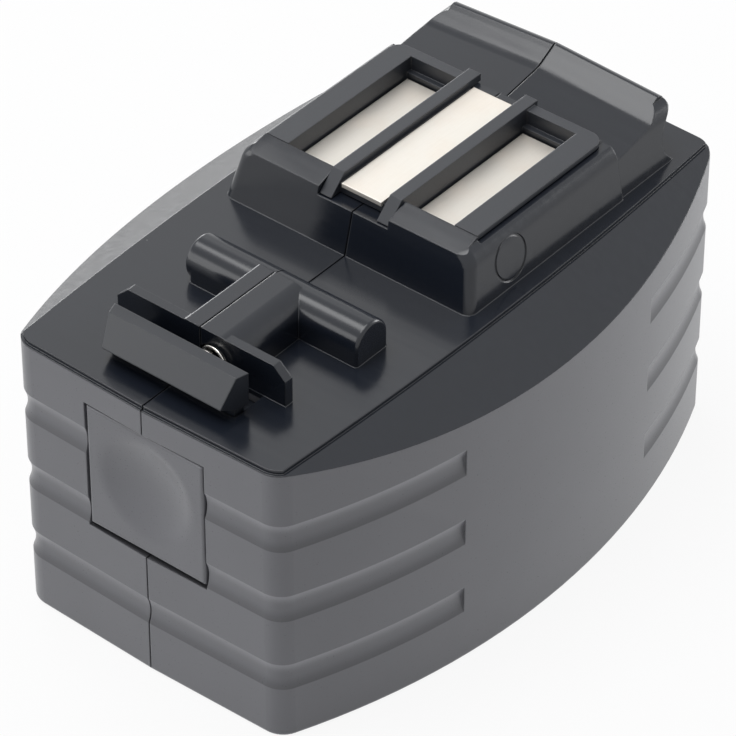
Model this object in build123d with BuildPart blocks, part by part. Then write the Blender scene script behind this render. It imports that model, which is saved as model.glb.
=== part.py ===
from build123d import *
import os
from math import cos, degrees, pi, radians, sin, sqrt, tan

# Slide-on battery pack of a cordless power tool.
# X runs to the right seen from the front, Y from the front to the rear and Z up. The origin is in
# the middle of the base, and X = 0 is the seam between the two halves of the case.
# Sizes named from_front are measured back from the front of the case, and a rise up from the deck.

# Case
body_length = 126.6
body_width = 88.4
deck_height = 62.0
wall = 2.5
seam_gap = 0.3
side_radius = 150.0
bulge_offset = 1.2
corner_radius = 5.0
end_slope = 1.5
base_radius = 1.0
deck_half_width = 32.7
deck_edge_radius = 880.0
facet_angle = 30.0
deck_step = 0.8
deck_ledge = 0.5
overrun = 2.0

# Grooves round the front and the rear
groove_lowest = 14.5
groove_top_drop = 15.2
groove_count = 3
groove_width = 5.9
groove_depth = 0.62
front_groove_end_from_front = 38.4
rear_groove_start_from_front = 93.4

# Fixed rail on the deck
rail_offset = 2.8
stem_offset = 2.6
plate_from_front = 16.0
plate_thickness = 1.9
plate_half_width = 19.4
plate_rise = 7.85
plate_corner_run = 2.6
plate_corner_drop = 2.4
stem_half_width = 6.4
stem_rise = 8.0
stem_left_round = 0.5
stem_right_round = 4.5
crossbar_from_front = 36.2
crossbar_half_length = 19.4
crossbar_radius = 4.3
crossbar_rise = 7.6
crossbar_end_round = 0.6
crossbar_nose = 1.0

# Contact tower
tower_from_front = 55.5
tower_half_width = 28.8
tower_rise = 12.0
ridge_rise = 10.4
ridge_setback = 2.6
bevel_run = 4.6
side_lean = 1.6
side_lean_rise = 8.2
shoulder_run = 2.6
shoulder_rise = 11.2
tower_end_from_front = 100.8
tower_corner_radius = 2.0
notch_half_width = 8.1
notch_rise = 8.7
mark_from_front = 68.5
mark_rise = 5.4
mark_radius = 4.5
mark_line = 0.45
mark_depth = 0.25

# Hook behind the tower, its outline on the seam as distances from the front and rises
hook_inset = 0.5
hook_crown = 2.9
hook_ramp_start = 102.1
hook_ramp_start_rise = 9.1
hook_ramp_end = 112.1
hook_ramp_end_rise = 10.6
hook_face_top = 115.8
hook_face_top_rise = 12.6
hook_crest = 117.1
hook_rise = 13.4
hook_lip = 118.9
hook_lip_rise = 12.6
hook_tip = 118.3
hook_tip_rise = 11.5
hook_under = 116.5
hook_under_rise = 9.9
hook_throat = 114.5
hook_throat_rise = 7.2
hook_neck = 114.3
hook_neck_rise = 5.5
hook_heel = 114.9
hook_heel_rise = 3.5
hook_foot = 117.2
hook_foot_rise = 1.0
hook_valley_round = 5.0
hook_crest_round = 0.9
hook_tip_round = 0.5
hook_throat_round = 1.2

# Contact carrier, set in the top of the tower
carrier_gap = 0.2
flange_half_width = 24.4
flange_thickness = 1.0
flange_end_from_front = 100.7
flange_corner = 3.0
shadow_width = 0.9
shadow_depth = 0.25
tray_half_width = 21.8
tray_rise = 4.5
tray_end_from_front = 98.6
window_inner = 8.0
window_outer = 19.3
window_end_from_front = 98.4
window_step = 1.2
window_step_rise = 9.0
window_floor_rise = 7.3
guide_inner = 5.3
guide_rise = 12.6
guide_start_from_front = 58.1
guide_end_from_front = 101.6
channel_rise = 10.9
channel_start_from_front = 60.8

# Contacts
contact_thickness = 0.6
contact_gap = 0.4
contact_tab_width = 6.0
contact_tab_from_front = 95.0
contact_tab_rise = 2.0
strip_half_width = 4.6
strip_thickness = 0.5
strip_end_from_front = 98.7
strip_fold = 0.4
strip_tab_width = 4.0
strip_tab_from_front = 96.8

# Latch
latch_travel = 3.5
latch_rear_gap = 1.4
running_gap = 0.3
button_width = 27.1
button_height = 27.25
button_drop = 6.75
button_gap = 0.4
button_foot_gap = 0.8
button_from_front = 0.35
button_plate = 3.0
button_skirt = 1.6
button_edge = 0.6
dish_radius = 10.4
dish_depth = 1.9
dish_rise = 14.7
dish_round = 8.0
collar_width = 2.0
collar_from_front = 5.3
web_from_front = 5.6
web_thickness = 2.4
web_half_width = 13.0
web_wing = 2.5
web_wing_drop = 8.5
web_foot = 1.0
slide_thickness = 3.0
slide_half_width = 15.0
slide_end_from_front = 23.0
guide_rail_width = 1.7
guide_lip_reach = 1.8
guide_lip_thickness = 1.6
guide_rail_from_front = 9.5
guide_rail_end_from_front = 27.0
neck_from_front = 8.5
neck_thickness = 2.5
neck_half_width = 14.2
bar_half_width = 15.35
bar_nose_half_width = 13.7
bar_rise = 8.6
bar_front_rise = 8.5
bar_top_from_front = 8.6
bar_nose_from_front = 5.3
bar_nose_rise = 2.9
bar_neck_rise = 1.6
slot_gap = 0.4

# Latch spring
spring_rise = 1.8
spring_outer = 6.2
spring_wire = 0.7
spring_turns = 8
spring_end_from_front = 27.0
spring_bend = 0.85
spring_bore_gap = 0.3
points_per_half_turn = 24

# Cells and what holds them
cell_gap = 0.2
cell_nub_diameter = 9.0
cell_nub = 0.5
cell_groove_depth = 0.5
cell_groove_width = 1.2
cell_groove_drop = 2.6
cells_along = 4
cells_front_room = 14.7
cells_rear_room = 19.3
wiring_room = 12.5
pad_thickness = 0.8
pad_margin = 0.2
link_thickness = 0.2
link_width = 8.0
terminal_diameter = 14.0
bulkhead_thickness = 1.6
bulkhead_gap = 0.5
rib_thickness = 2.0
rib_clearance = 0.45
holddown_from_seam = 26.0
holddown_start_from_front = 30.0
holddown_end_from_front = 95.0

# Leads and sensor
lead_diameter = 2.4
lead_rise = 4.5
lead_bend = 3.0
lead_hole_gap = 0.8
positive_inset = 4.0
negative_inset = 2.0
sensor_lead_diameter = 1.6
sensor_lead_rise = 7.5
sensor_turn_from_front = 66.0
sensor_diameter = 3.2
sensor_length = 8.0
sensor_sink = 1.8

# Screws
screw_diameter = 3.0
screw_head_diameter = 5.5
screw_head_thickness = 2.2
screw_socket = 2.2
screw_socket_depth = 1.2
screw_seat = 8.0
screw_reach = 10.0
screw_hole_gap = 0.2
screw_thread_gap = 0.02
screw_head_gap = 0.25
screw_tube = 8.4
screw_low = 7.5
screw_front_drop = 9.0
screw_rear_drop = 7.5
screw_low_front_from_front = 8.5
screw_high_front_from_front = 32.0
screw_rear_room = 11.6

# Cells counted along the current: column and row, with the rows half a cell apart
cell_places = [(0, 3), (-1, 2), (0, 1), (-1, 0), (-1, -2), (0, -3), (0, -1), (1, -2), (1, 0), (1, 2)]

os.makedirs("parts", exist_ok=True)


def y_at(from_front):
    """Y of a distance measured back from the front of the case."""
    return from_front - body_length / 2


def z_at(rise):
    """Z of a height measured up from the deck."""
    return deck_height + rise


def block(x_low, x_high, y_low, y_high, z_low, z_high, mode=Mode.ADD):
    """A box between three pairs of limits, in the open part."""
    with Locations(((x_low + x_high) / 2, (y_low + y_high) / 2, (z_low + z_high) / 2)):
        Box(x_high - x_low, y_high - y_low, z_high - z_low, mode=mode)


def rod(start, end, radius, mode=Mode.ADD):
    """A round bar from one point to another, in the open part."""
    along = Vector(*end) - Vector(*start)
    with Locations(Plane(origin=start, z_dir=along)):
        Cylinder(radius, along.length, align=(Align.CENTER, Align.CENTER, Align.MIN), mode=mode)


# Case outline


def corner(inset, end):
    """Start, middle and finish of a rounded corner: end is -1 at the front and 1 at the rear."""
    slope = radians(end_slope)
    radius = corner_radius - inset
    side = side_radius - inset
    apex = Vector(0, end * (body_length / 2 - inset / cos(slope)))
    along = Vector(cos(slope), -end * sin(slope))
    inward = Vector(-sin(slope), -end * cos(slope))
    side_centre = Vector(body_width / 2 - side_radius, bulge_offset)
    offset_start = apex + inward * radius - side_centre
    lean = offset_start.dot(along)
    run = sqrt(lean**2 - offset_start.dot(offset_start) + (side - radius) ** 2) - lean
    centre = apex + inward * radius + along * run
    first = centre - inward * radius
    last = side_centre + (centre - side_centre).normalized() * side
    middle = centre + (first + last - centre * 2).normalized() * radius
    return first, middle, last


def wall_plan(inset):
    """The plan of the walls, moved inwards by inset."""
    reach = body_length / 2 - inset / cos(radians(end_slope))
    front_first, front_middle, front_last = corner(inset, -1)
    rear_first, rear_middle, rear_last = corner(inset, 1)
    with BuildSketch() as plan:
        with BuildLine():
            Line((0, -reach), front_first)
            ThreePointArc(front_first, front_middle, front_last)
            ThreePointArc(front_last, (body_width / 2 - inset, bulge_offset), rear_last)
            ThreePointArc(rear_last, rear_middle, rear_first)
            Line(rear_first, (0, reach))
            mirror(about=Plane.YZ)
        make_face()
    return plan.sketch


def deck_plan(inset):
    """The plan of the raised deck, moved inwards by inset."""
    half_width = deck_half_width - inset
    half_length = body_length / 2
    end_half_width = half_width - deck_edge_radius + sqrt(deck_edge_radius**2 - half_length**2)
    with BuildSketch() as plan:
        add(wall_plan(inset))
        with BuildLine():
            ThreePointArc((end_half_width, -half_length), (half_width, 0), (end_half_width, half_length))
            Line((end_half_width, half_length), (-end_half_width, half_length))
            ThreePointArc((-end_half_width, half_length), (-half_width, 0), (-end_half_width, -half_length))
            Line((-end_half_width, -half_length), (end_half_width, -half_length))
        make_face(mode=Mode.INTERSECT)
    return plan.sketch


def facet_cutter(inset):
    """What the sloping facets beside the deck leave out, moved inwards by inset."""
    angle = radians(facet_angle)
    swing = body_length / deck_edge_radius
    edge_run = deck_edge_radius - inset * sin(angle)
    edge_height = deck_height - deck_step - inset * cos(angle)
    inner_run = edge_run - wall * cos(angle)
    inner_height = edge_height + wall * sin(angle)
    outer_run = edge_run + body_width / 4
    outer_height = edge_height - body_width / 4 * tan(angle)
    centre = Vector(deck_half_width - deck_edge_radius, 0)
    across = Vector(cos(swing), -sin(swing))
    with BuildPart() as cutter:
        with BuildSketch(Plane(origin=centre, x_dir=across, z_dir=across.cross(Vector(0, 0, 1)))):
            with BuildLine():
                Polyline(
                    (inner_run, inner_height),
                    (outer_run, outer_height),
                    (outer_run, inner_height),
                    close=True,
                )
            make_face()
        revolve(axis=Axis(centre, (0, 0, 1)), revolution_arc=degrees(2 * swing))
        mirror(about=Plane.YZ)
    return cutter.part


def inner_block(inset):
    """The case as a solid, moved inwards all round by inset."""
    with BuildPart() as solid:
        with BuildSketch(Plane.XY.offset(inset)):
            add(wall_plan(inset))
        extrude(amount=deck_height - 2 * inset)
        add(facet_cutter(inset), mode=Mode.SUBTRACT)
    return solid.part


# Grooves, drawn for the right side and mirrored


def side_point(from_front):
    """The point of the right wall at a distance from the front."""
    along = y_at(from_front) - bulge_offset
    return Vector(body_width / 2 - side_radius + sqrt(side_radius**2 - along**2), y_at(from_front))


groove_pitch = (deck_height - groove_top_drop - groove_lowest) / (groove_count - 1)

with BuildPart() as grooves:
    for count in range(groove_count):
        lift = Vector(0, 0, groove_lowest + count * groove_pitch)
        for end, limit in ((-1, front_groove_end_from_front), (1, rear_groove_start_from_front)):
            first, middle, last = (point + lift for point in corner(0, end))
            stop = side_point(limit) + lift
            halfway = side_point((limit + last.Y + body_length / 2) / 2) + lift
            with BuildLine() as path:
                Line(Vector(0, end * body_length / 2) + lift, first)
                ThreePointArc(first, middle, last)
                ThreePointArc(last, halfway, stop)
            along = path.line % 0
            with BuildSketch(Plane(path.line @ 0, x_dir=along.cross(Vector(0, 0, end)), z_dir=along)):
                with BuildLine():
                    ThreePointArc((0, groove_width / 2), (groove_depth, 0), (0, -groove_width / 2))
                    Polyline(
                        (0, -groove_width / 2),
                        (-overrun, -groove_width / 2),
                        (-overrun, groove_width / 2),
                        (0, groove_width / 2),
                    )
                make_face()
            sweep(path=path.line)


# Tower and hook


def side_profile(inset):
    """The section across the tower up to its shoulders, its sides moved inwards by inset."""
    foot = tower_half_width - inset + tower_sink * side_lean / side_lean_rise
    waist = tower_half_width - inset - side_lean
    shoulder = waist - shoulder_run
    with BuildSketch() as profile:
        with BuildLine():
            Line((foot, z_at(-tower_sink)), (waist, z_at(side_lean_rise)))
            TangentArc(
                (waist, z_at(side_lean_rise)),
                (shoulder, z_at(shoulder_rise)),
                tangent=(-side_lean, side_lean_rise),
            )
            Polyline(
                (foot, z_at(-tower_sink)),
                (0, z_at(-tower_sink)),
                (0, z_at(shoulder_rise)),
                (shoulder, z_at(shoulder_rise)),
            )
        make_face()
        mirror(about=Plane.YZ)
    return profile.sketch


tower_sink = wall / 2
ridge_from_front = tower_from_front + ridge_setback
tower_top_from_front = ridge_from_front + bevel_run
rim_rise = tower_rise - flange_thickness
shoulder_half_width = tower_half_width - side_lean - shoulder_run
front_lean = ridge_setback / ridge_rise
bevel_slope = (tower_rise - ridge_rise) / bevel_run

with BuildPart() as tower:
    with BuildSketch(Plane.XZ.offset(-y_at(tower_end_from_front))):
        add(side_profile(0))
    extrude(amount=tower_end_from_front)
    with BuildSketch(Plane.YZ):
        with BuildLine():
            Polyline(
                (y_at(tower_from_front - front_lean * tower_sink), z_at(-tower_sink)),
                (y_at(tower_from_front + front_lean * tower_rise), z_at(tower_rise)),
                (y_at(tower_end_from_front), z_at(tower_rise)),
                (y_at(tower_end_from_front), z_at(-tower_sink)),
                close=True,
            )
        make_face()
    extrude(amount=tower_half_width + overrun, both=True, mode=Mode.INTERSECT)
    leaning_face = tower.faces().filter_by(
        lambda face: face.normal_at().Y < -cos(radians(facet_angle)) and face.center().Z > z_at(0)
    )
    corner_edges = leaning_face.edges().filter_by(
        lambda edge: abs(edge.center().X) > tower_half_width / 2
    )
    fillet(corner_edges, radius=tower_corner_radius)
    block(
        -shoulder_half_width,
        shoulder_half_width,
        y_at(ridge_from_front),
        y_at(tower_end_from_front),
        z_at(shoulder_rise),
        z_at(tower_rise),
    )
    with BuildSketch(Plane.YZ):
        with BuildLine():
            Polyline(
                (y_at(tower_from_front), z_at(ridge_rise - ridge_setback * bevel_slope)),
                (y_at(tower_top_from_front), z_at(tower_rise)),
                (y_at(tower_top_from_front), z_at(tower_rise + overrun)),
                (y_at(tower_from_front), z_at(tower_rise + overrun)),
                close=True,
            )
        make_face()
    extrude(amount=tower_half_width + overrun, both=True, mode=Mode.SUBTRACT)

with BuildPart() as hook_envelope:
    with BuildSketch(Plane.XZ.offset(-y_at(body_length))):
        add(side_profile(hook_inset))
    extrude(amount=body_length)
    block(
        hook_inset - shoulder_half_width,
        shoulder_half_width - hook_inset,
        y_at(0),
        y_at(body_length),
        z_at(shoulder_rise),
        z_at(hook_rise + overrun),
    )

with BuildPart() as hook:
    with BuildSketch(Plane.YZ) as outline:
        with BuildLine():
            Polyline(
                (y_at(tower_end_from_front - wall), z_at(-tower_sink)),
                (y_at(tower_end_from_front - wall), z_at(hook_ramp_start_rise)),
                (y_at(hook_ramp_start), z_at(hook_ramp_start_rise)),
                (y_at(hook_ramp_end), z_at(hook_ramp_end_rise)),
                (y_at(hook_face_top), z_at(hook_face_top_rise)),
                (y_at(hook_crest), z_at(hook_rise)),
                (y_at(hook_lip), z_at(hook_lip_rise)),
                (y_at(hook_tip), z_at(hook_tip_rise)),
                (y_at(hook_under), z_at(hook_under_rise)),
                (y_at(hook_throat), z_at(hook_throat_rise)),
                (y_at(hook_neck), z_at(hook_neck_rise)),
                (y_at(hook_heel), z_at(hook_heel_rise)),
                (y_at(hook_foot), z_at(hook_foot_rise)),
                (y_at(hook_foot), z_at(-tower_sink)),
                close=True,
            )
        make_face()
        for outline_y, outline_rise, rounding in (
            (hook_ramp_end, hook_ramp_end_rise, hook_valley_round),
            (hook_crest, hook_rise, hook_crest_round),
            (hook_lip, hook_lip_rise, hook_crest_round),
            (hook_tip, hook_tip_rise, hook_tip_round),
            (hook_throat, hook_throat_rise, hook_throat_round),
            (hook_heel, hook_heel_rise, hook_throat_round),
        ):
            corner_point = Vector(y_at(outline_y), z_at(outline_rise))
            fillet(outline.vertices().sort_by_distance(corner_point)[0], rounding)
    crown = radians(hook_crown)
    extrude(amount=(tower_half_width + overrun) / cos(crown), dir=(cos(crown), 0, -sin(crown)))
    mirror(about=Plane.YZ)
    add(hook_envelope.part, mode=Mode.INTERSECT)


# Fixed rail

plate_end_from_front = plate_from_front + plate_thickness

crossbar_axis_rise = crossbar_rise - crossbar_radius

with BuildPart() as crossbar_cap:
    rod(
        (rail_offset, y_at(crossbar_from_front), z_at(crossbar_axis_rise)),
        (
            rail_offset - crossbar_half_length - crossbar_nose,
            y_at(crossbar_from_front),
            z_at(crossbar_axis_rise),
        ),
        crossbar_radius,
    )
    fillet(crossbar_cap.faces().sort_by(Axis.X)[0].edges(), crossbar_end_round)

with BuildPart() as rail:
    with BuildSketch(Plane.XZ.offset(-y_at(plate_end_from_front))):
        with BuildLine():
            Polyline(
                (-plate_half_width, z_at(-deck_step)),
                (-plate_half_width, z_at(plate_rise - plate_corner_drop)),
                (plate_corner_run - plate_half_width, z_at(plate_rise)),
                (plate_half_width - plate_corner_run, z_at(plate_rise)),
                (plate_half_width, z_at(plate_rise - plate_corner_drop)),
                (plate_half_width, z_at(-deck_step)),
                close=True,
            )
        make_face()
    extrude(amount=plate_thickness)
    with BuildSketch(Plane.YZ.offset(rail_offset - crossbar_half_length)):
        with Locations((y_at(crossbar_from_front), z_at(crossbar_axis_rise))):
            Circle(crossbar_radius)
            Rectangle(
                2 * crossbar_radius,
                crossbar_axis_rise + deck_step,
                align=(Align.CENTER, Align.MAX),
            )
    extrude(amount=2 * crossbar_half_length)
    end_faces = rail.faces().filter_by(Axis.X).filter_by(
        lambda face: abs(abs(face.center().X - rail_offset) - crossbar_half_length) < deck_step / 4
        and face.center().Y > y_at(plate_end_from_front)
    )
    fillet(end_faces.edges().filter_by(lambda edge: edge.center().Z > z_at(0)), crossbar_end_round)
    add(crossbar_cap.part)
    with BuildSketch(Plane.XZ.offset(-y_at(crossbar_from_front))) as stem:
        with Locations((stem_offset, z_at(stem_rise))):
            Rectangle(2 * stem_half_width, stem_rise + deck_step, align=(Align.CENTER, Align.MAX))
        fillet(stem.vertices().group_by(Axis.Y)[-1].sort_by(Axis.X)[0], stem_left_round)
        fillet(stem.vertices().group_by(Axis.Y)[-1].sort_by(Axis.X)[-1], stem_right_round)
    extrude(amount=crossbar_from_front - plate_from_front)


# Inside frame of the case: bulkheads, ribs, screw tubes, latch guides and button collar

cell_room = body_length - cells_front_room - cells_rear_room
cell_diameter = (cell_room - (cells_along - 1) * cell_gap) / cells_along
cell_height = deck_height - 2 * wall - wiring_room - 2 * (pad_thickness + link_thickness)
row_step = (cell_diameter + cell_gap) / 2
column_step = row_step * sqrt(3)
cell_base = wall + pad_thickness + link_thickness
cell_top = cell_base + cell_height
stack_top = cell_top + link_thickness + pad_thickness
middle_column_reach = (cells_along - 1) * row_step + cell_diameter / 2
cells_from_front = cells_front_room + middle_column_reach
rib_tip = column_step + sqrt((cell_diameter / 2 + rib_clearance) ** 2 - (row_step - rib_thickness / 2) ** 2)
button_x = button_width / 2 + button_gap
button_base = z_at(-button_drop) - button_height
button_low = button_base - button_foot_gap
button_high = button_base + button_height + button_gap
slide_top = deck_height - wall - running_gap
slide_bottom = slide_top - slide_thickness
rail_inner = slide_half_width + running_gap
screw_places = [
    (screw_low_front_from_front, screw_low),
    (screw_high_front_from_front, z_at(-screw_front_drop)),
    (body_length - screw_rear_room, screw_low),
    (body_length - screw_rear_room, z_at(-screw_rear_drop)),
]

with BuildPart() as inner_frame:
    for end in (-1, 1):
        near = y_at(cells_from_front) + end * (middle_column_reach + bulkhead_gap)
        far = near + end * bulkhead_thickness
        block(-body_width, body_width, min(near, far), max(near, far), 0, stack_top)
        rib_y = y_at(cells_from_front) + end * row_step
        for side in (-1, 1):
            tip = side * rib_tip
            outer = side * body_width / 2
            block(
                min(tip, outer),
                max(tip, outer),
                rib_y - rib_thickness / 2,
                rib_y + rib_thickness / 2,
                cell_base + pad_thickness,
                cell_top - pad_thickness,
            )
    for side in (-1, 1):
        holddown = side * (holddown_from_seam + bulkhead_thickness / 2)
        block(
            holddown - bulkhead_thickness / 2,
            holddown + bulkhead_thickness / 2,
            y_at(holddown_start_from_front),
            y_at(holddown_end_from_front),
            stack_top + running_gap,
            deck_height,
        )
        guide = side * (rail_inner + guide_rail_width / 2)
        block(
            guide - guide_rail_width / 2,
            guide + guide_rail_width / 2,
            y_at(guide_rail_from_front),
            y_at(guide_rail_end_from_front),
            slide_bottom - running_gap - guide_lip_thickness,
            deck_height,
        )
        lip = side * (rail_inner + (guide_rail_width - guide_lip_reach) / 2)
        block(
            lip - (guide_rail_width + guide_lip_reach) / 2,
            lip + (guide_rail_width + guide_lip_reach) / 2,
            y_at(guide_rail_from_front),
            y_at(guide_rail_end_from_front),
            slide_bottom - running_gap - guide_lip_thickness,
            slide_bottom - running_gap,
        )
    block(
        -button_x - collar_width,
        button_x + collar_width,
        y_at(0),
        y_at(collar_from_front),
        button_low - collar_width,
        button_high + collar_width,
    )
    for from_front, height in screw_places:
        rod(
            (-body_width, y_at(from_front), height),
            (body_width, y_at(from_front), height),
            screw_tube / 2,
        )
    add(inner_block(wall / 2), mode=Mode.INTERSECT)


# The two halves of the case, made as one and parted at the seam

hollow_half_width = tray_half_width + carrier_gap
hollow_end = tray_end_from_front + carrier_gap
bar_end_from_front = neck_from_front + neck_thickness
slot_end = bar_end_from_front + latch_travel + latch_rear_gap

with BuildPart() as case:
    with BuildSketch():
        add(wall_plan(0))
    extrude(amount=deck_height - deck_step)
    fillet(case.faces().sort_by(Axis.Z)[0].edges(), base_radius)
    add(facet_cutter(0), mode=Mode.SUBTRACT)
    with BuildSketch(Plane.XY.offset(deck_height - deck_step)):
        add(deck_plan(deck_ledge))
    extrude(amount=deck_step)
    add(grooves.part, mode=Mode.SUBTRACT)
    mirror(grooves.part, about=Plane.YZ, mode=Mode.SUBTRACT)
    add(tower.part)
    add(hook.part)
    add(rail.part)
    add(inner_block(wall), mode=Mode.SUBTRACT)
    add(inner_frame.part)
    # Room for the contact carrier, open to the inside of the case
    block(
        -hollow_half_width,
        hollow_half_width,
        y_at(tower_top_from_front),
        y_at(hollow_end),
        z_at(-wall - overrun),
        z_at(tower_rise + overrun),
        mode=Mode.SUBTRACT,
    )
    block(
        side_lean + wall - tower_half_width,
        tower_half_width - side_lean - wall,
        y_at(tower_top_from_front - wall),
        y_at(hollow_end),
        z_at(-wall - overrun),
        z_at(tray_rise - deck_step),
        mode=Mode.SUBTRACT,
    )
    block(
        side_lean + wall - tower_half_width,
        tower_half_width - side_lean - wall,
        y_at(hollow_end + wall),
        y_at(hook_neck - wall),
        z_at(-wall - overrun),
        z_at(hook_neck_rise + deck_step),
        mode=Mode.SUBTRACT,
    )
    # The rim that the carrier rests on, with a shadow line outside it
    block(
        -body_width,
        body_width,
        y_at(tower_top_from_front),
        y_at(tower_end_from_front + overrun),
        z_at(rim_rise),
        z_at(tower_rise + overrun),
        mode=Mode.SUBTRACT,
    )
    for side in (-1, 1):
        shadow = side * (flange_half_width + (tower_half_width - flange_half_width) / 2)
        block(
            shadow - (tower_half_width - flange_half_width) / 2 - shadow_width,
            shadow + (tower_half_width - flange_half_width) / 2 + shadow_width,
            y_at(tower_top_from_front),
            y_at(tower_end_from_front + carrier_gap),
            z_at(rim_rise - shadow_depth),
            z_at(rim_rise + overrun),
            mode=Mode.SUBTRACT,
        )
    block(
        -notch_half_width,
        notch_half_width,
        y_at(tower_from_front),
        y_at(tower_top_from_front + carrier_gap),
        z_at(notch_rise),
        z_at(tower_rise + overrun),
        mode=Mode.SUBTRACT,
    )
    # Plain ring on each side of the tower
    for side in (-1, 1):
        mark_x = side * (tower_half_width - side_lean * mark_rise / side_lean_rise)
        outward = Vector(side * side_lean_rise, 0, side_lean)
        with BuildSketch(Plane((mark_x, y_at(mark_from_front), z_at(mark_rise)), (0, 1, 0), outward)):
            Circle(mark_radius)
            Circle(mark_radius - mark_line, mode=Mode.SUBTRACT)
        extrude(amount=mark_depth, both=True, mode=Mode.SUBTRACT)
    # Button opening and latch slot
    block(
        -button_x,
        button_x,
        y_at(-overrun),
        y_at(collar_from_front + running_gap),
        button_low,
        button_high,
        mode=Mode.SUBTRACT,
    )
    block(
        -neck_half_width - running_gap,
        neck_half_width + running_gap,
        y_at(neck_from_front - slot_gap),
        y_at(slot_end),
        z_at(-wall - overrun),
        z_at(overrun),
        mode=Mode.SUBTRACT,
    )
    # Spring bore in the rail
    rod(
        (rail_offset, y_at(slot_end), z_at(spring_rise)),
        (rail_offset, y_at(spring_end_from_front), z_at(spring_rise)),
        spring_outer / 2 + spring_bore_gap,
        mode=Mode.SUBTRACT,
    )
    # Screw holes, driven from the left
    for from_front, height in screw_places:
        rod(
            (-body_width, y_at(from_front), height),
            (-screw_seat, y_at(from_front), height),
            screw_head_diameter / 2 + screw_head_gap,
            mode=Mode.SUBTRACT,
        )
        rod(
            (-screw_seat, y_at(from_front), height),
            (0, y_at(from_front), height),
            screw_diameter / 2 + screw_hole_gap,
            mode=Mode.SUBTRACT,
        )
        rod(
            (0, y_at(from_front), height),
            (screw_reach + screw_hole_gap, y_at(from_front), height),
            screw_diameter / 2 + screw_thread_gap,
            mode=Mode.SUBTRACT,
        )

with BuildPart() as left_shell:
    add(case.part)
    split(bisect_by=Plane.YZ.offset(-seam_gap / 2), keep=Keep.BOTTOM)
left_shell.part.label = "left_shell"
export_step(left_shell.part, "parts/left_shell.step")

with BuildPart() as right_shell:
    add(case.part)
    split(bisect_by=Plane.YZ.offset(seam_gap / 2), keep=Keep.TOP)
right_shell.part.label = "right_shell"
export_step(right_shell.part, "parts/right_shell.step")

# Case screws

with BuildPart() as case_screws:
    for from_front, height in screw_places:
        rod(
            (-screw_seat, y_at(from_front), height),
            (screw_reach, y_at(from_front), height),
            screw_diameter / 2,
        )
        rod(
            (-screw_seat - screw_head_thickness, y_at(from_front), height),
            (-screw_seat, y_at(from_front), height),
            screw_head_diameter / 2,
        )
        socket_face = Plane((-screw_seat - screw_head_thickness, y_at(from_front), height), z_dir=(1, 0, 0))
        with BuildSketch(socket_face):
            RegularPolygon(screw_socket / 2, 6)
        extrude(amount=screw_socket_depth, mode=Mode.SUBTRACT)
case_screws.part.label = "case_screws"
export_step(case_screws.part, "parts/case_screws.step")

# Contact carrier

tray_from_front = tower_top_from_front + carrier_gap
tray_wall = (tray_half_width - window_outer) / 2
plate_tab_x = (window_inner + window_outer) / 2

with BuildPart() as contact_carrier:
    with BuildSketch(Plane.XY.offset(z_at(rim_rise))):
        with Locations((0, (y_at(tray_from_front) + y_at(flange_end_from_front)) / 2)):
            Rectangle(2 * flange_half_width, flange_end_from_front - tray_from_front)
    extrude(amount=flange_thickness)
    fillet(contact_carrier.edges().filter_by(Axis.Z).group_by(Axis.Y)[-1], flange_corner)
    block(
        -tray_half_width,
        tray_half_width,
        y_at(tray_from_front),
        y_at(tray_end_from_front),
        z_at(tray_rise),
        z_at(rim_rise),
    )
    for side in (-1, 1):
        window = side * plate_tab_x
        half_window = (window_outer - window_inner) / 2
        block(
            window - half_window,
            window + half_window,
            y_at(tray_from_front - overrun),
            y_at(window_end_from_front),
            z_at(window_step_rise),
            z_at(tower_rise + overrun),
            mode=Mode.SUBTRACT,
        )
        block(
            window - half_window,
            window + half_window,
            y_at(tray_from_front + tray_wall),
            y_at(window_end_from_front - window_step),
            z_at(window_floor_rise),
            z_at(window_step_rise),
            mode=Mode.SUBTRACT,
        )
        block(
            window - contact_tab_width / 2 - carrier_gap,
            window + contact_tab_width / 2 + carrier_gap,
            y_at(contact_tab_from_front) - contact_thickness / 2 - carrier_gap,
            y_at(contact_tab_from_front) + contact_thickness / 2 + carrier_gap,
            z_at(tray_rise),
            z_at(window_floor_rise),
            mode=Mode.SUBTRACT,
        )
    block(
        -window_inner,
        window_inner,
        y_at(channel_start_from_front),
        y_at(tray_from_front),
        z_at(notch_rise) + carrier_gap,
        z_at(channel_rise),
    )
    block(
        -guide_inner,
        guide_inner,
        y_at(channel_start_from_front),
        y_at(guide_end_from_front),
        z_at(channel_rise),
        z_at(tower_rise + overrun),
        mode=Mode.SUBTRACT,
    )
    for side in (-1, 1):
        with BuildSketch(Plane.YZ.offset(side * (guide_inner + window_inner) / 2)):
            with BuildLine():
                Polyline(
                    (y_at(guide_start_from_front), z_at(notch_rise) + carrier_gap),
                    (y_at(guide_start_from_front) + guide_rise - notch_rise, z_at(guide_rise)),
                    (y_at(guide_end_from_front), z_at(guide_rise)),
                    (y_at(guide_end_from_front), z_at(rim_rise)),
                    (y_at(tray_end_from_front), z_at(rim_rise)),
                    (y_at(tray_end_from_front), z_at(notch_rise) + carrier_gap),
                    close=True,
                )
            make_face()
        extrude(amount=(window_inner - guide_inner) / 2, both=True)
    block(
        -strip_tab_width / 2 - carrier_gap,
        strip_tab_width / 2 + carrier_gap,
        y_at(strip_tab_from_front) - strip_thickness / 2 - carrier_gap,
        y_at(strip_tab_from_front) + strip_thickness / 2 + carrier_gap,
        z_at(tray_rise),
        z_at(channel_rise),
        mode=Mode.SUBTRACT,
    )
contact_carrier.part.label = "contact_carrier"
export_step(contact_carrier.part, "parts/contact_carrier.step")

# Contacts


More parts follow.
